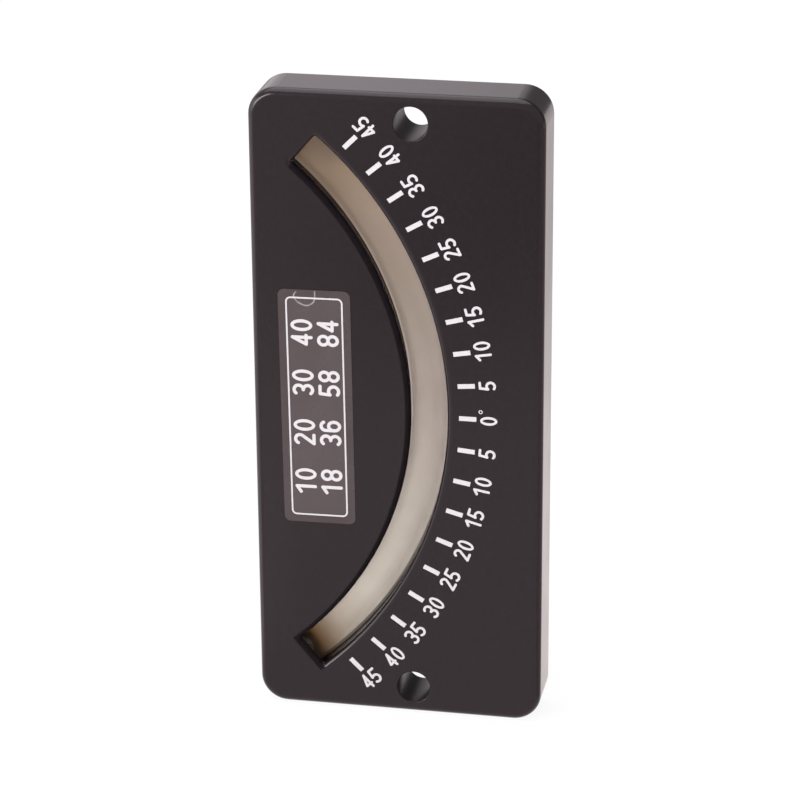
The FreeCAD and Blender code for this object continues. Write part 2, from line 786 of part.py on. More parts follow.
def three(pen):
    """Two equal bowls that meet at the waist."""
    radius = (pen.top - pen.base) / 4
    upper = pen.bend(pen.top - radius, radius, -90, 180 - BOWL_HOOK_ANGLE)
    lower = pen.bend(pen.base + radius, radius, BOWL_HOOK_ANGLE - 180, 90)
    return [pen.draw(upper, lower)]


def four(pen):
    stem = FOUR_STEM_SHARE * pen.width
    level = FOUR_BAR_SHARE * pen.height
    slant = pen.line((stem, pen.top), (pen.left, level), (pen.right, level))
    return [pen.draw(*slant), pen.bar((stem, pen.base), (stem, pen.top))]


def five(pen):
    radius = FIVE_BOWL_SHARE * pen.height - pen.stroke / 4
    level = pen.base + radius
    bowl = pen.bend(level, radius, TAIL_ANGLE - 360, SHOULDER_ANGLE)
    start = pen.on_bend(level, radius, SHOULDER_ANGLE)
    shoulder = pen.left + FIVE_SHOULDER_SHARE * pen.width
    return [pen.draw(bowl, *pen.line(start, (shoulder, pen.top), (pen.right, pen.top)))]


def six(pen):
    """Loop with an arm that rises from its left side into a hook."""
    crown = SIX_LOOP_SHARE * pen.height
    radius = (pen.right - pen.left) / 2
    level = pen.top - radius
    arm = pen.line((pen.left, (pen.base + crown) / 2), (pen.left, level))
    hook = pen.bend(level, radius, HOOK_ANGLE, 180)
    return [pen.loop(pen.base, crown), pen.draw(hook, *arm)]


def seven(pen):
    foot = (SEVEN_FOOT_SHARE * pen.width, pen.base)
    return [pen.draw(*pen.line((pen.left, pen.top), (pen.right, pen.top), foot))]


def eight(pen):
    return [pen.loop(pen.base, pen.waist), pen.loop(pen.waist, pen.top)]


def nine(pen):
    """A six turned half round about its middle."""
    strokes = six(pen)
    for stroke in strokes:
        stroke.rotate(Vector(pen.middle, pen.waist, 0), Vector(0, 0, 1), 180)
    return strokes


DIGITS = (zero, one, two, three, four, five, six, seven, eight, nine)


def digit_shape(pen, digit, thickness):
    """One printed digit as a thin solid, its lower left corner at the origin."""
    strokes = [face.extrude(Vector(0, 0, thickness)) for face in DIGITS[int(digit)](pen)]
    first, *others = [solid for stroke in strokes for solid in stroke.Solids]
    if others:
        return first.multiFuse(others).removeSplitter()
    return first


def number_solids(pen, text, gap, thickness):
    """Digits of a number side by side, about the middle of the number."""
    pitch = pen.width + gap
    start = -(pitch * len(text) - gap) / 2
    solids = []
    for place, digit in enumerate(text):
        shape = digit_shape(pen, digit, thickness)
        shape.translate(Vector(start + place * pitch, -pen.waist, 0))
        solids.extend(shape.Solids)
    return solids


def on_scale(radius, angle, slip=0):
    """Place on the scale with its X along the arc and its Y towards the arc's centre."""
    turned = math.radians(angle)
    outward = Vector(math.cos(turned), 0, math.sin(turned))
    along = Vector(-math.sin(turned), 0, math.cos(turned))
    rotation = Rotation(along, -outward, Vector(0, -1, 0), "XYZ")
    centre = Vector(-value(ARC_OFFSET), -value(CASE_DEPTH), 0)
    return Placement(centre + outward * radius + along * slip, rotation)


def add_print(label, solids):
    """Printed marks as one node of separate thin solids."""
    node = doc.addObject("Part::Feature", label)
    node.Label = label
    node.Shape = Part.makeCompound(solids)
    return node


def make_scale_numerals():
    pen = Pen(value("numeral_height"), value("numeral_width"), value("numeral_stroke"))
    radius, thickness, gap = value(NUMERAL_MIDDLE), value("ink_thickness"), value("numeral_gap")
    step = value("tick_step_angle")
    count = round(value("tick_limit_angle / tick_step_angle"))
    solids = []
    for place in range(-count, count + 1):
        slip = -value("zero_drop") if place == 0 else 0
        text = str(round(abs(place) * step))
        for solid in number_solids(pen, text, gap, thickness):
            solids.append(solid.transformed(on_scale(radius, place * step, slip).toMatrix()))
    add_print("scale_numerals", solids)


def make_degree_mark():
    """Small ring at the upper corner of the zero."""
    mark = add_body("degree_mark")
    ring = add_sketch(mark, "ring")
    draw_circle(ring, "0", "degree_radius + degree_stroke / 2")
    draw_circle(ring, "0", "degree_radius - degree_stroke / 2")
    add_pad(ring, "ink_thickness")
    bind(mark, "Placement.Base.x", f"{NUMERAL_MIDDLE} - {DEGREE_RISE} - {ARC_OFFSET}")
    bind(mark, "Placement.Base.y", f"-{CASE_DEPTH}")
    bind(mark, "Placement.Base.z", DEGREE_SHIFT)


# Label


def place_on_label(item, lift):
    """Put a piece on the label's place, leaning as the label does."""
    item.Placement = Placement(Vector(), Rotation(Vector(0, 1, 0), -value("label_lean_angle")))
    bind(item, "Placement.Base.x", f"label_margin + ({LABEL_WIDTH} - {CASE_WIDTH}) / 2")
    bind(item, "Placement.Base.y", f"-{CASE_DEPTH} - {lift}")
    bind(item, "Placement.Base.z", "label_lift")
    bind(item, "Placement.Rotation.Angle", "-label_lean_angle")


def make_label_film():
    body = add_body("label_film")
    outline = add_sketch(body, "outline")
    draw_rounded_box(outline, LABEL_WIDTH, LABEL_HEIGHT, "label_corner")
    add_pad(outline, "label_thickness")
    place_on_label(body, "0")


def make_label_border():
    body = add_body("label_border")
    outline = add_sketch(body, "outline")
    for inset, radius in (
        ("border_inset", "border_corner"),
        (BORDER_EDGE, "border_corner - border_stroke"),
    ):
        width = f"({LABEL_WIDTH} - 2 * {inset})"
        height = f"({LABEL_HEIGHT} - 2 * {inset})"
        draw_rounded_box(outline, width, height, radius)
    add_pad(outline, "ink_thickness")
    place_on_label(body, "label_thickness")


def make_label_figures():
    """Two rows of plain numbers that read upwards, as the scale does."""
    pen = Pen(value("figure_height"), value("figure_width"), value("figure_stroke"))
    thickness, gap = value("ink_thickness"), value("figure_gap")
    rotation = Rotation(Vector(0, 0, 1), Vector(-1, 0, 0), Vector(0, -1, 0), "XYZ")
    solids = []
    for texts, side in zip(LABEL_ROWS, (-1, 1)):
        across = side * value("(figure_height + figure_row_gap) / 2")
        for place, text in enumerate(texts):
            up = (place - (len(texts) - 1) / 2) * value("figure_column_step")
            spot = Placement(Vector(across, 0, up), rotation)
            for solid in number_solids(pen, text, gap, thickness):
                solids.append(solid.transformed(spot.toMatrix()))
    place_on_label(add_print("label_figures", solids), "label_thickness")


def build():
    fill_sheet()
    make_front_housing()
    make_rear_cover()
    make_cover_screws()
    make_vial_tube()
    make_bent_rod("vial_plug", PLUG_START, "plug_length", f"{BORE_RADIUS} - fit_gap")
    make_bent_rod("plug_sealant", SEAL_START, "seal_length", f"{BORE_RADIUS} - fit_gap")
    make_reflector_strip()
    make_vial_boot("vial_boot_upper", f"({BOOT_START} + {turn(BOOT_LENGTH)})")
    make_vial_boot("vial_boot_lower", f"(-{BOOT_START})")
    make_cushion_strip()
    make_sensing_ball()
    make_scale_ticks()
    make_scale_numerals()
    make_degree_mark()
    make_label_film()
    make_label_border()
    make_label_figures()
    doc.recompute()


def is_node(item):
    kinds = ("PartDesign::Body", "Part::Sphere", "Part::Feature")
    return item.TypeId in kinds


def check_and_export():
    """Write each piece only once every object of the document is sound."""
    for item in doc.Objects:
        if "Invalid" in item.State or "Error" in item.State:
            raise RuntimeError(f"{item.Label} failed: {item.State}")
    nodes = [item for item in doc.Objects if is_node(item)]
    for node in nodes:
        if node.Shape.isNull() or not node.Shape.isValid():
            raise RuntimeError(f"{node.Label} has no valid shape")
    os.makedirs("parts", exist_ok=True)
    for node in nodes:
        node.Shape.exportStep(os.path.join("parts", f"{node.Label}.step"))
        print(node.Label, len(node.Shape.Solids), round(node.Shape.Volume, 2))


build()
check_and_export()
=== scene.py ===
"""Looks of a ball clinometer: black moulded case, bent vial with its ball, printed scale and label film."""

import math

import bpy
from mathutils import Matrix, Quaternion, Vector


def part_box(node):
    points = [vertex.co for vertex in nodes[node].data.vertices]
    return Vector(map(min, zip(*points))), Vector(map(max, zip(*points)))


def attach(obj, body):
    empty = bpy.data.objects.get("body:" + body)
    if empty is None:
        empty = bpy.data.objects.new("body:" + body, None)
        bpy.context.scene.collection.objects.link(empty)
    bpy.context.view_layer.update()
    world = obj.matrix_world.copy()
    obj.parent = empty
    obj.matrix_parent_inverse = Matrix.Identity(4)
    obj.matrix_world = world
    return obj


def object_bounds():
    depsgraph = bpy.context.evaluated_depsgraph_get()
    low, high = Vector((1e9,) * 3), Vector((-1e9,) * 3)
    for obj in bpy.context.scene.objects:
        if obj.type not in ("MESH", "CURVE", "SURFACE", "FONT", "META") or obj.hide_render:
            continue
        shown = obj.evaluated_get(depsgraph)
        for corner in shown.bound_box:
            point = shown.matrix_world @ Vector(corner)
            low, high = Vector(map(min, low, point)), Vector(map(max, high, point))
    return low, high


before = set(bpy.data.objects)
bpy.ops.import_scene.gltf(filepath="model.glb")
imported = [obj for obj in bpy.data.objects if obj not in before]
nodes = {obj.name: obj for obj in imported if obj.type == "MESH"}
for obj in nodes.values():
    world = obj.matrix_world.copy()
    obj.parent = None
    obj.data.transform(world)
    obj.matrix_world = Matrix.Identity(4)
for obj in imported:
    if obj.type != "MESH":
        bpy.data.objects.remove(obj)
cad_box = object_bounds()
node_slots = {name: node.data.materials[0].name for name, node in nodes.items()}
for plain_material in list(bpy.data.materials):
    bpy.data.materials.remove(plain_material)

MM = 0.001

# Places that the materials follow. The arc of the vial, the window and the scale has its middle at ARC_X.
film_low, film_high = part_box("label_film")
ARC_X = -59.7 * MM
BEND_RADIUS = 65.2 * MM
HOLE_X = 2.8 * MM
HOLE_Z = 55.4 * MM
HOLE_RADIUS = 3.15 * MM


class Material:
    """A material's node tree, built one node at a time."""

    def __init__(self, name, **sockets):
        self.data = bpy.data.materials.new(name)
        self.data.use_nodes = True
        self.tree = self.data.node_tree
        self.tree.nodes.clear()
        self.surface = self.add("ShaderNodeBsdfPrincipled")
        self.output = self.add("ShaderNodeOutputMaterial")
        self.join(self.surface.outputs["BSDF"], self.output.inputs["Surface"])
        self.where = self.add("ShaderNodeTexCoord").outputs["Object"]
        for name, value in sockets.items():
            self.feed(name, value)

    def add(self, kind, **settings):
        node = self.tree.nodes.new(kind)
        for name, value in settings.items():
            setattr(node, name, value)
        return node

    def join(self, source, target):
        self.tree.links.new(source, target)

    def set_or_link(self, target, value):
        """Link a socket, or set its number or colour."""
        if isinstance(value, bpy.types.NodeSocket):
            self.join(value, target)
        else:
            target.default_value = value

    def feed(self, name, value):
        """Set or link a socket of the surface, named with underscores for spaces."""
        title = name.replace("_", " ").title().replace("Ior", "IOR")
        self.set_or_link(self.surface.inputs[title], value)

    def maths(self, operation, first, second=0.0, clamp=False):
        """Outcome of a sum on two numbers or sockets."""
        node = self.add("ShaderNodeMath", operation=operation, use_clamp=clamp)
        self.set_or_link(node.inputs[0], first)
        self.set_or_link(node.inputs[1], second)
        return node.outputs[0]

    def between(self, value, low, high, start=0.0, end=1.0):
        """Smooth change from start to end while a value goes from low to high."""
        node = self.add("ShaderNodeMapRange", interpolation_type="SMOOTHSTEP")
        for socket, number in zip(node.inputs, (value, low, high, start, end)):
            self.set_or_link(socket, number)
        return node.outputs[0]

    def noise(self, size, detail=2.0, roughness=0.5, stretch=None):
        """Noise whose features are about as large as size, in metres."""
        node = self.add("ShaderNodeTexNoise")
        node.inputs["Scale"].default_value = 1 / size
        node.inputs["Detail"].default_value = detail
        node.inputs["Roughness"].default_value = roughness
        where = self.where
        if stretch:
            mapping = self.add("ShaderNodeMapping")
            mapping.inputs["Scale"].default_value = stretch
            self.join(where, mapping.inputs["Vector"])
            where = mapping.outputs["Vector"]
        self.join(where, node.inputs["Vector"])
        return node.outputs["Fac"]

    def ramp(self, value, *stops):
        """Colour that runs through stops of position and colour."""
        node = self.add("ShaderNodeValToRGB")
        elements = node.color_ramp.elements
        while len(elements) < len(stops):
            elements.new(1.0)
        for element, (position, colour) in zip(elements, stops):
            element.position = position
            element.color = (*colour, 1)
        self.set_or_link(node.inputs["Fac"], value)
        return node.outputs["Color"]

    def mix(self, share, first, second):
        """Colour that goes from the first to the second as the share goes from nought to one."""
        node = self.add("ShaderNodeMix", data_type="RGBA")
        self.set_or_link(node.inputs["Factor"], share)
        self.set_or_link(node.inputs[6], rgba(first))
        self.set_or_link(node.inputs[7], rgba(second))
        return node.outputs[2]

    def bump(self, height, distance, strength=1.0):
        node = self.add("ShaderNodeBump")
        node.inputs["Strength"].default_value = strength
        node.inputs["Distance"].default_value = distance
        self.join(height, node.inputs["Height"])
        return node.outputs["Normal"]

    def axes(self):
        """Place on the surface as three numbers, in metres in the frame's directions."""
        node = self.add("ShaderNodeSeparateXYZ")
        self.join(self.where, node.inputs[0])
        return node.outputs

    def length(self, aside, up):
        """Length of the long side of a right angled triangle."""
        return self.maths("SQRT", self.maths("ADD", self.maths("POWER", aside, 2.0), self.maths("POWER", up, 2.0)))


def rgba(colour):
    """The colour with its fourth number, where it is a colour and has only three."""
    return (*colour, 1) if isinstance(colour, tuple) and len(colour) == 3 else colour


def srgb(*levels):
    """Linear colour of levels from 0 to 255."""
    shares = [level / 255 for level in levels]
    return tuple(s / 12.92 if s <= 0.04045 else ((s + 0.055) / 1.055) ** 2.4 for s in shares)


# Plastics of the case

PLASTIC = (0.0060, 0.0046, 0.0055)
PLASTIC_WORN = (0.017, 0.0120, 0.0136)
# Pink tint of the plastics' gloss: painted colour of the light that they mirror
PAINTED_GLOSS_TINT = (1.0, 0.92, 0.955, 1)
HOLE_BLEND = 0.05 * MM

# Bounds of the painted shade on the window's rounded edge, where its gloss is turned down, each as the two ends of
# its
# soft change: distances from the arc's centre, and angles in degrees
EDGE_START = (61.0 * MM, 61.5 * MM)
EDGE_STOP = (62.3 * MM, 62.5 * MM)
FAR_EDGE_STOP = (69.2 * MM, 70.0 * MM)
LOW_END_START = (-50.4, -49.9)
LOW_END_STOP = (-49.5, -49.0)
HIGH_END = (48.9, 49.4)


def bend_angle(mat):
    """Angle about the arc's centre in degrees, from below to above the middle."""
    x, _, z = mat.axes()
    turned = mat.maths("ARCTAN2", z, mat.maths("SUBTRACT", x, ARC_X))
    return mat.maths("MULTIPLY", turned, math.degrees(1))


def bend_distance(mat):
    """Distance from the middle of the arc."""
    x, _, z = mat.axes()
    return mat.length(mat.maths("SUBTRACT", x, ARC_X), z)


def window_edge_shade_share(mat):
    """One on the rounded edge at the inner side and the lower end of the window, where painted shade turns the
    gloss down, and nought elsewhere.
    """
    angle, distance = bend_angle(mat), bend_distance(mat)
    started = mat.between(distance, *EDGE_START)
    inner_side = mat.maths("MULTIPLY", started, mat.between(distance, *EDGE_STOP, 1.0, 0.0))
    end = mat.maths("MULTIPLY", started, mat.between(distance, *FAR_EDGE_STOP, 1.0, 0.0))
    end = mat.maths("MULTIPLY", end, mat.between(angle, *LOW_END_STOP, 1.0, 0.0))
    within = mat.maths("MULTIPLY", mat.between(angle, *LOW_END_START), mat.between(angle, *HIGH_END, 1.0, 0.0))
    return mat.maths("MULTIPLY", mat.maths("MAXIMUM", inner_side, end), within)


def hole_share(mat):
    """One on the walls of the two mounting holes and nought elsewhere."""
    x, _, z = mat.axes()
    aside = mat.maths("SUBTRACT", x, HOLE_X)
    up = mat.maths("SUBTRACT", mat.maths("ABSOLUTE", z), HOLE_Z)
    return mat.between(mat.length(aside, up), HOLE_RADIUS, HOLE_RADIUS + HOLE_BLEND, 1.0, 0.0)


def case_plastic():
    """Satin black, with the mould's fine grain and slow changes of gloss, duller in holes, and with painted shade
    by less gloss at the window's inner edge and lower end.
    """
    mat = Material("case_plastic", specular_tint=PAINTED_GLOSS_TINT)
    cloud = mat.noise(14 * MM, detail=3)
    speck = mat.noise(0.7 * MM, detail=4, roughness=0.65)
    shade = mat.between(speck, 0.35, 0.75)
    mat.feed("base_color", mat.mix(mat.maths("MULTIPLY", shade, 0.35), PLASTIC, PLASTIC_WORN))
    bore = hole_share(mat)
    gloss = mat.between(cloud, 0.3, 0.7, 0.16, 0.20)
    mat.feed("roughness", mat.between(bore, 0.0, 1.0, gloss, 0.36))
    level = mat.between(bore, 0.0, 1.0, 0.36, 0.22)
    # Painted shade: less gloss on the window's inner edge and lower end
    painted_edge_shade = mat.between(window_edge_shade_share(mat), 0.0, 1.0, 1.0, 0.08)
    mat.feed("specular_ior_level", mat.maths("MULTIPLY", level, painted_edge_shade))
    mat.feed("normal", mat.bump(mat.noise(0.16 * MM, detail=2), 0.004 * MM, 0.5))
    return mat


def cover_plastic():
    """The same black with a coarser matt texture."""
    mat = Material("cover_plastic", specular_tint=PAINTED_GLOSS_TINT, specular_ior_level=0.40)
    grain = mat.noise(0.35 * MM, detail=3, roughness=0.6)
    cloud = mat.noise(9 * MM, detail=2)
    mat.feed("base_color", mat.mix(mat.between(grain, 0.4, 0.8, 0.0, 0.5), PLASTIC, PLASTIC_WORN))
    mat.feed("roughness", mat.between(cloud, 0.3, 0.7, 0.46, 0.56))
    mat.feed("normal", mat.bump(grain, 0.012 * MM, 0.7))
    return mat


# Vial

# Colour of the reflector along the vial, with the angle along it in degrees: its tan with painted shade and light,
# dark brown at the lower end, brightest over the lower part and darker towards the upper end
TAN_AND_SHADE_BY_ANGLE = (
    (-51, srgb(60, 42, 20)),
    (-50, srgb(150, 110, 74)),
    (-48.5, srgb(185, 158, 130)),
    (-45, srgb(226, 211, 190)),
    (-38, srgb(250, 240, 224)),
    (-3, srgb(218, 204, 192)),
    (33, srgb(194, 174, 155)),
    (42, srgb(176, 152, 128)),
)


# Front rims of the half tube. The outer one gets painted shade, dark at the rim and fading over some distance
# behind its front.
RIM_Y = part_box("reflector_strip")[0].y
RIM_DARK = 0.1 * MM
RIM_FADE = 1.3 * MM
PAINTED_SHADE_COLOUR = (0.035, 0.025, 0.018)


def reflector_plastic():
    """Cream half tube with faint mottling and painted shade: brightest over its lower part, browner towards its
    ends, darker along its outer side and dark at its outer rim.

    The liquid in front of it spreads its light, so it shades like a flat strip that faces the window.
    """
    mat = Material("reflector_plastic", roughness=0.42)
    low, high = TAN_AND_SHADE_BY_ANGLE[0][0], TAN_AND_SHADE_BY_ANGLE[-1][0]
    share = mat.maths("DIVIDE", mat.maths("SUBTRACT", bend_angle(mat), low), high - low)
    stops = [((angle - low) / (high - low), colour) for angle, colour in TAN_AND_SHADE_BY_ANGLE]
    # Tan with painted shade and light along the vial
    tan = mat.ramp(share, *stops)
    cloud = mat.between(mat.noise(5 * MM, detail=3), 0.3, 0.7, 0.0, 0.10)
    mottled = mat.mix(cloud, tan, srgb(170, 140, 120))
    distance, depth = bend_distance(mat), mat.axes()["Y"]
    outer_half = mat.between(distance, BEND_RADIUS, BEND_RADIUS + 1 * MM)
    # Painted shade at the outer rim, darkest just behind its front
    rim = mat.maths("MULTIPLY", outer_half, mat.between(depth, RIM_Y + RIM_DARK, RIM_Y + RIM_FADE, 0.85, 0.0))
    # Painted shade, darker towards the outer side of the tube
    shaded = mat.mix(mat.between(distance, BEND_RADIUS, BEND_RADIUS + 3.4 * MM, 0.0, 0.17), mottled, PAINTED_SHADE_COLOUR)
    mat.feed("base_color", mat.mix(rim, shaded, PAINTED_SHADE_COLOUR))
    facing = mat.add("ShaderNodeCombineXYZ")
    facing.inputs["Y"].default_value = -1.0
    grain = mat.bump(mat.noise(0.5 * MM), 0.01 * MM, 0.3)
    mat.join(facing.outputs["Vector"], grain.node.inputs["Normal"])
    mat.feed("normal", grain)
    return mat


def vial_glass():
    """Clear glass, seen mostly by the gloss of its edges."""
    mat = Material("vial_glass", ior=1.47, base_color=(0.32, 0.28, 0.22, 1))
    edge = mat.add("ShaderNodeLayerWeight")
    edge.inputs["Blend"].default_value = 0.25
    clouding = mat.between(mat.noise(4 * MM, detail=2), 0.3, 0.7, 0.003, 0.010)
    rim = mat.maths("MULTIPLY", edge.outputs["Fresnel"], 0.03)
    mat.feed("alpha", mat.maths("ADD", rim, clouding, clamp=True))
    mat.feed("roughness", mat.between(mat.noise(1.2 * MM), 0.3, 0.7, 0.04, 0.09))
    return mat


def ball_steel():
    """Gloss black ball with hairline scuffs."""
    mat = Material("ball_steel", coat_weight=0.4)
    cloud = mat.noise(0.9 * MM, detail=4, roughness=0.7)
    hair = mat.noise(0.12 * MM, detail=2, stretch=(1, 6, 1))
    mat.feed("base_color", mat.mix(mat.between(cloud, 0.4, 0.7), (0.016, 0.016, 0.017), (0.028, 0.027, 0.027)))
    mat.feed("roughness", mat.between(cloud, 0.3, 0.7, 0.08, 0.16))
    mat.feed("normal", mat.bump(hair, 0.001 * MM, 0.4))
    return mat


def plug_rubber():
    """Red rubber with paler dust."""
    mat = Material("plug_rubber")
    dust = mat.between(mat.noise(0.6 * MM, detail=4), 0.45, 0.75)
    mat.feed("base_color", mat.mix(dust, (0.26, 0.055, 0.035), (0.36, 0.12, 0.085)))
    mat.feed("roughness", mat.between(dust, 0.0, 1.0, 0.55, 0.75))
    mat.feed("normal", mat.bump(mat.noise(0.2 * MM, detail=3), 0.02 * MM, 0.4))
    return mat


def sealant_resin():
    """Set resin with small trapped bubbles."""
    mat = Material("sealant_resin", roughness=0.25)
    bubbles = mat.between(mat.noise(0.35 * MM, detail=1), 0.62, 0.72)
    mat.feed("base_color", mat.mix(bubbles, (0.30, 0.17, 0.055), (0.52, 0.40, 0.22)))
    mat.feed("normal", mat.bump(bubbles, 0.03 * MM, 0.6))
    return mat


def boot_rubber():
    """Black rubber with grey dust."""
    mat = Material("boot_rubber")
    dust = mat.between(mat.noise(0.5 * MM, detail=5, roughness=0.7), 0.5, 0.8)
    mat.feed("base_color", mat.mix(dust, (0.016, 0.016, 0.017), (0.045, 0.043, 0.041)))
    mat.feed("roughness", mat.between(dust, 0.0, 1.0, 0.55, 0.8))
    mat.feed("normal", mat.bump(mat.noise(0.25 * MM, detail=3), 0.015 * MM, 0.5))
    return mat


def cushion_foam():
    """Open cells of grey foam."""
    mat = Material("cushion_foam", roughness=0.95)
    cells = mat.add("ShaderNodeTexVoronoi")
    cells.inputs["Scale"].default_value = 1 / (0.45 * MM)
    mat.join(mat.where, cells.inputs["Vector"])
    # Darker in the hollows of the cells: painted shade
    hollow = mat.between(cells.outputs["Distance"], 0.15, 0.6)
    mat.feed("base_color", mat.mix(hollow, (0.035, 0.035, 0.037), (0.14, 0.14, 0.145)))
    mat.feed("normal", mat.bump(hollow, 0.12 * MM, 0.8))
    return mat


def screw_steel():
    """Bright zinc on steel, with darker patches and fine bumps."""
    mat = Material("screw_steel", metallic=1.0)
    stain = mat.noise(0.5 * MM, detail=5, roughness=0.7)
    shine = mat.mix(mat.between(stain, 0.4, 0.75), (0.58, 0.58, 0.60), (0.40, 0.39, 0.37))
    mat.feed("base_color", shine)
    mat.feed("roughness", mat.between(stain, 0.3, 0.75, 0.24, 0.42))
    mat.feed("normal", mat.bump(mat.noise(0.1 * MM, detail=2), 0.004 * MM, 0.5))
    return mat


# Prints and film

INK = (0.455, 0.438, 0.450)


def print_ink(name):
    """Screen-printed white, a little thinner in places."""
    mat = Material(name, specular_ior_level=0.35)
    thin = mat.between(mat.noise(0.45 * MM, detail=4, roughness=0.7), 0.52, 0.80, 0.0, 0.35)
    mat.feed("base_color", mat.mix(thin, INK, (0.36, 0.348, 0.355)))
    mat.feed("roughness", mat.between(thin, 0.0, 0.35, 0.5, 0.62))
    mat.feed("normal", mat.bump(mat.noise(0.12 * MM, detail=2), 0.006 * MM, 0.4))
    return mat


FILM_LEAN = math.tan(math.radians(0.65))
FRAMED_HALF_WIDTH = 5.2 * MM
FRAMED_HALF_HEIGHT = 21.4 * MM
FRAME_BLEND = 0.1 * MM


def label_film():
    """Smoke grey film, lighter inside its printed frame."""
    mat = Material("label_film", specular_ior_level=0.5)
    x, _, z = mat.axes()
    across = mat.maths("SUBTRACT", x, (film_low.x + film_high.x) / 2)
    up = mat.maths("SUBTRACT", z, (film_low.z + film_high.z) / 2)
    sideways = mat.maths("ADD", across, mat.maths("MULTIPLY", up, FILM_LEAN))
    along = mat.maths("SUBTRACT", up, mat.maths("MULTIPLY", across, FILM_LEAN))
    framed = mat.maths(
        "MULTIPLY",
        mat.between(mat.maths("ABSOLUTE", sideways), FRAMED_HALF_WIDTH - FRAME_BLEND, FRAMED_HALF_WIDTH, 1.0, 0.0),
        mat.between(mat.maths("ABSOLUTE", along), FRAMED_HALF_HEIGHT - FRAME_BLEND, FRAMED_HALF_HEIGHT, 1.0, 0.0),
    )
    cloud = mat.between(mat.noise(6 * MM, detail=2), 0.25, 0.75, 0.0, 0.16)
    smoke = mat.mix(framed, (0.035, 0.025, 0.027), (0.047, 0.035, 0.037))
    mat.feed("base_color", mat.mix(cloud, smoke, (0.076, 0.061, 0.063)))
    mat.feed("roughness", mat.between(cloud, 0.0, 0.16, 0.24, 0.28))
    mat.feed("normal", mat.bump(mat.noise(0.2 * MM, detail=2), 0.003 * MM, 0.3))
    return mat


def film_crease():
    """Pale edge of trapped air under the film: the paleness is partly the air under it and partly a painted
    highlight on the ridge.
    """
    mat = Material("film_crease", roughness=0.3)
    broken = mat.between(mat.noise(0.8 * MM, detail=2), 0.3, 0.7)
    mat.feed("base_color", mat.mix(broken, (0.15, 0.13, 0.135), (0.24, 0.215, 0.22)))
    return mat


# Material of each slot that the record names
SLOT_MATERIALS = {
    "case_plastic": case_plastic(),
    "cover_plastic": cover_plastic(),
    "screw_steel": screw_steel(),
    "vial_glass": vial_glass(),
    "plug_rubber": plug_rubber(),
    "sealant_resin": sealant_resin(),
    "reflector_plastic": reflector_plastic(),
    "boot_rubber": boot_rubber(),
    "cushion_foam": cushion_foam(),
    "ball_steel": ball_steel(),
    "white_print": print_ink("white_print"),
    "label_film": label_film(),
    "label_print": print_ink("label_print"),
}


def dress_nodes():
    """Give each piece of the frame the material of its slot."""
    for name, node in nodes.items():
        node.data.materials[0] = SLOT_MATERIALS[node_slots[name]].data


dress_nodes()


# Crease in the film, as places across and up the case in millimetres

CREASE_PATH = (
    (-18.52, 22.77), (-19.0, 21.97), (-18.46, 20.96), (-17.46, 20.36),
    (-16.46, 20.19), (-15.59, 20.63), (-15.15, 21.31), (-15.03, 23.1),
)
CREASE_WIDTH = 0.26 * MM
CREASE_HEIGHT = 0.02 * MM
CREASE_STEPS = 8


def smooth_path(points):
    """Places along a soft curve through the points."""
    ends = [points[0]] + points + [points[-1]]
    places = []
    for before, start, end, after in zip(ends, ends[1:], ends[2:], ends[3:]):
        for step in range(CREASE_STEPS):
            share = step / CREASE_STEPS
            square = (2 * before - 5 * start + 4 * end - after) * share ** 2
            cube = (3 * start - 3 * end + after - before) * share ** 3
            places.append(start + ((end - before) * share + square + cube) / 2)
    return places + [points[-1]]


def make_crease():
    """Low ridge along the path, on the front of the film."""
    path = smooth_path([Vector((x * MM, film_low.y, z * MM)) for x, z in CREASE_PATH])
    points, faces = [], []
    for number, place in enumerate(path):
        along = path[min(number + 1, len(path) - 1)] - path[max(number - 1, 0)]
        aside = Vector((-along.z, 0, along.x)).normalized() * CREASE_WIDTH / 2
        points += [place - aside, place - Vector((0, CREASE_HEIGHT, 0)), place + aside]
    for number in range(len(path) - 1):
        first = 3 * number
        for side in (0, 1):
            faces.append((first + side, first + side + 1, first + side + 4, first + side + 3))
    mesh = bpy.data.meshes.new("film_crease")
    mesh.from_pydata(points, [], faces)
    mesh.materials.append(film_crease().data)
    crease = bpy.data.objects.new("film_crease", mesh)
    bpy.context.scene.collection.objects.link(crease)
    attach(crease, "case")


make_crease()


# Floor, light and camera

FLOOR_SIZE = 3.0
FLOOR_GLOW = 0.90
# Place of the case's left front edge, around which the floor at the left is lighter in some directions
EDGE_X, EDGE_Y = -0.025, -0.01
# Sideways step on the floor, for each step forward, of what the camera sees mirrored along an upright line
MIRROR_LEAN = 0.197


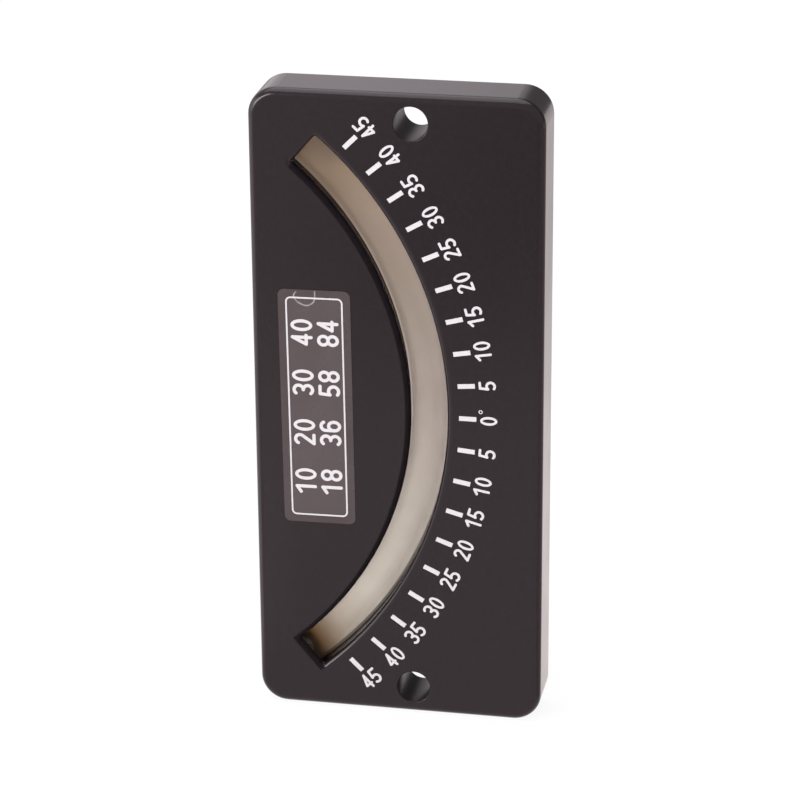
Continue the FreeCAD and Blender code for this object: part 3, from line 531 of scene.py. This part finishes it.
def mirrored_strength(mat):
    """Strength of the floor's glow in gloss: one, with soft patches that are lighter or darker.

    The left edge mirrors the floor at its left, the right side the floor behind, and the face the floor in front.
    """
    x, y, _ = mat.axes()

    # At the left: lighter where the direction from the edge is about level with it, and darker behind it
    slope = mat.maths("DIVIDE", mat.maths("SUBTRACT", y, EDGE_Y), mat.maths("SUBTRACT", x, EDGE_X))
    lighter = mat.maths("MULTIPLY", mat.between(slope, -0.2, 0.2), mat.between(slope, 0.45, 0.9, 0.9, 0.0))
    darker = mat.between(slope, -0.9, -0.3, -0.55, 0.0)
    left = mat.maths("MULTIPLY", mat.maths("ADD", lighter, darker), mat.between(x, -0.06, -0.04, 1.0, 0.0))

    # Behind the part: lighter, less so farther back
    behind = mat.maths("MULTIPLY", mat.between(y, -0.02, 0.02), mat.between(y, 0.05, 0.32, 0.45, 0.0))

    # Far in front: darker, most at the right
    far = mat.between(y, -0.30, -0.14, 1.0, 0.0)
    shade = mat.maths("MULTIPLY", far, mat.between(x, -0.10, -0.05, 0.1, 0.46))

    # A lighter stripe, which the left margin of the face mirrors
    column = mat.maths("SUBTRACT", x, mat.maths("MULTIPLY", y, MIRROR_LEAN))
    stripe = mat.maths("MULTIPLY", mat.between(column, -0.05, -0.03), mat.between(column, -0.028, -0.018, 0.3, 0.0))
    stripe = mat.maths("MULTIPLY", stripe, mat.between(y, -0.30, -0.18))
    stripe = mat.maths("MULTIPLY", stripe, mat.between(y, -0.055, -0.025, 1.0, 0.0))

    strength = mat.maths("SUBTRACT", mat.maths("ADD", mat.maths("ADD", left, behind), 1.0), shade)
    return mat.maths("ADD", strength, stripe)


def make_floor():
    """Pale floor that the part stands on: it looks white, keeps a soft shadow and glows in mirrored views."""
    mat = Material("floor")
    mat.feed("base_color", (0.86, 0.86, 0.86, 1))
    mat.feed("roughness", 0.9)
    glow = mat.add("ShaderNodeEmission")
    mat.set_or_link(glow.inputs["Color"], (1, 1, 1, 1))
    mirrored_glow = mat.add("ShaderNodeEmission")
    mat.set_or_link(mirrored_glow.inputs["Color"], (1, 0.91, 0.91, 1))
    mat.set_or_link(mirrored_glow.inputs["Strength"], mirrored_strength(mat))
    path = mat.add("ShaderNodeLightPath")
    mirrored = mat.maths("ADD", path.outputs["Is Glossy Ray"], path.outputs["Is Transmission Ray"], clamp=True)
    seen = mat.maths("MULTIPLY", path.outputs["Is Camera Ray"], FLOOR_GLOW)
    surface = mat.surface.outputs["BSDF"]
    for share, light in ((seen, glow), (mirrored, mirrored_glow)):
        blend = mat.add("ShaderNodeMixShader")
        mat.set_or_link(blend.inputs[0], share)
        mat.join(surface, blend.inputs[1])
        mat.join(light.outputs["Emission"], blend.inputs[2])
        surface = blend.outputs["Shader"]
    mat.join(surface, mat.output.inputs["Surface"])
    bpy.ops.mesh.primitive_plane_add(size=FLOOR_SIZE, location=(0, 0, cad_box[0].z))
    floor = bpy.context.object
    floor.name = "floor"
    floor.data.materials.append(mat.data)


FLAG_CORNERS = ((0.032, -0.012), (0.6, -0.6), (0.6, 1.3))
FLAG_LIFT = 1 * MM


def make_flag():
    """Dark card on the floor at the right. Only gloss shows it, as the dark line of edges that face right."""
    mat = Material("flag", roughness=0.9)
    weave = mat.between(mat.noise(2 * MM), 0.3, 0.7)
    mat.feed("base_color", mat.mix(weave, (0.46, 0.38, 0.37), (0.56, 0.46, 0.45)))
    level = cad_box[0].z + FLAG_LIFT
    mesh = bpy.data.meshes.new("flag")
    mesh.from_pydata([(x, y, level) for x, y in FLAG_CORNERS], [], [(0, 1, 2)])
    mesh.materials.append(mat.data)
    flag = bpy.data.objects.new("flag", mesh)
    for ray in ("camera", "diffuse", "transmission", "shadow"):
        setattr(flag, f"visible_{ray}", False)
    bpy.context.scene.collection.objects.link(flag)


def make_world():
    """White for the camera. For the light: bright at the left and behind, darker at the right and in front."""
    world = bpy.data.worlds.new("studio")
    bpy.context.scene.world = world
    world.use_nodes = True
    tree = world.node_tree
    tree.nodes.clear()

    def add(kind, **settings):
        node = tree.nodes.new(kind)
        for name, value in settings.items():
            setattr(node, name, value)
        return node

    def ramp_of(value, low, high, start, end):
        node = add("ShaderNodeMapRange", interpolation_type="SMOOTHSTEP")
        for socket, given in zip(node.inputs, (value, low, high, start, end)):
            if isinstance(given, bpy.types.NodeSocket):
                tree.links.new(given, socket)
            else:
                socket.default_value = given
        return node.outputs[0]

    def product(first, second):
        node = add("ShaderNodeMath", operation="MULTIPLY")
        tree.links.new(first, node.inputs[0])
        tree.links.new(second, node.inputs[1])
        return node.outputs[0]

    way = add("ShaderNodeSeparateXYZ")
    tree.links.new(add("ShaderNodeTexCoord").outputs["Generated"], way.inputs[0])
    x, y, z = way.outputs
    rear = ramp_of(y, 0.0, 0.7, 0.85, 1.1)
    side = ramp_of(x, -0.25, 0.10, 1.0, ramp_of(y, -0.1, 0.5, 0.85, 0.2))
    lamp = add("ShaderNodeBackground")
    tree.links.new(product(rear, side), lamp.inputs["Strength"])
    plain = add("ShaderNodeBackground")
    blend = add("ShaderNodeMixShader")
    output = add("ShaderNodeOutputWorld")
    tree.links.new(add("ShaderNodeLightPath").outputs["Is Camera Ray"], blend.inputs[0])
    tree.links.new(lamp.outputs[0], blend.inputs[1])
    tree.links.new(plain.outputs[0], blend.inputs[2])
    tree.links.new(blend.outputs[0], output.inputs["Surface"])
    plain.inputs["Color"].default_value = (1, 1, 1, 1)
    plain.inputs["Strength"].default_value = 1.0
    lamp.inputs["Color"].default_value = (1, 0.925, 0.965, 1)


def make_lamp(name, direction, distance, width, height, radiance, roll=0.0, mirrored=True):
    """Soft lamp that faces the part, rolled by some degrees, and mirrored in gloss unless that is off."""
    data = bpy.data.lights.new(name, "AREA")
    data.shape = "RECTANGLE"
    data.size, data.size_y = width, height
    data.energy = radiance * math.pi * width * height
    lamp = bpy.data.objects.new(name, data)
    place = Vector(direction).normalized() * distance
    turn = (-place).to_track_quat("-Z", "Y") @ Quaternion((0, 0, 1), math.radians(roll))
    lamp.matrix_world = Matrix.LocRotScale(place, turn, None)
    lamp.visible_camera = False
    lamp.visible_glossy = mirrored
    bpy.context.scene.collection.objects.link(lamp)


CAMERA_PLACE = Vector((0.10807, -0.55048, 0.21711))
CAMERA_FORWARD = Vector((-0.18192467, 0.91396708, -0.36272248))
CAMERA_UP = Vector((-0.06358839, 0.35717108, 0.93187195))
CAMERA_LENS = 145.15


def make_camera():
    """Camera at the photograph's angle."""
    data = bpy.data.cameras.new("camera")
    data.lens = CAMERA_LENS
    data.sensor_width = 36
    data.clip_start = 0.01
    data.clip_end = 20
    camera = bpy.data.objects.new("camera", data)
    right = CAMERA_FORWARD.cross(CAMERA_UP)
    turn = Matrix((right, CAMERA_UP, -CAMERA_FORWARD)).transposed()
    camera.matrix_world = Matrix.LocRotScale(CAMERA_PLACE, turn.to_quaternion(), None)
    bpy.context.scene.collection.objects.link(camera)
    bpy.context.scene.camera = camera


make_floor()
make_flag()
make_world()
make_lamp("overhead_lamp", (-0.10, 0.05, 1.0), distance=1.0, width=1.2, height=1.1, radiance=2.2)
make_lamp("front_lamp", (0.34, -0.86, 0.38), distance=1.0, width=0.6, height=0.6, radiance=3.8, mirrored=False)
make_lamp("left_softbox", (-0.93, -0.30, 0.15), distance=1.0, width=0.9, height=0.6, radiance=1.8)
make_lamp("left_lamp", (-0.64, -0.69, 0.31), distance=0.8, width=0.56, height=0.16, radiance=13.0, roll=28)
make_camera()

bpy.context.scene.view_settings.view_transform = "Standard"
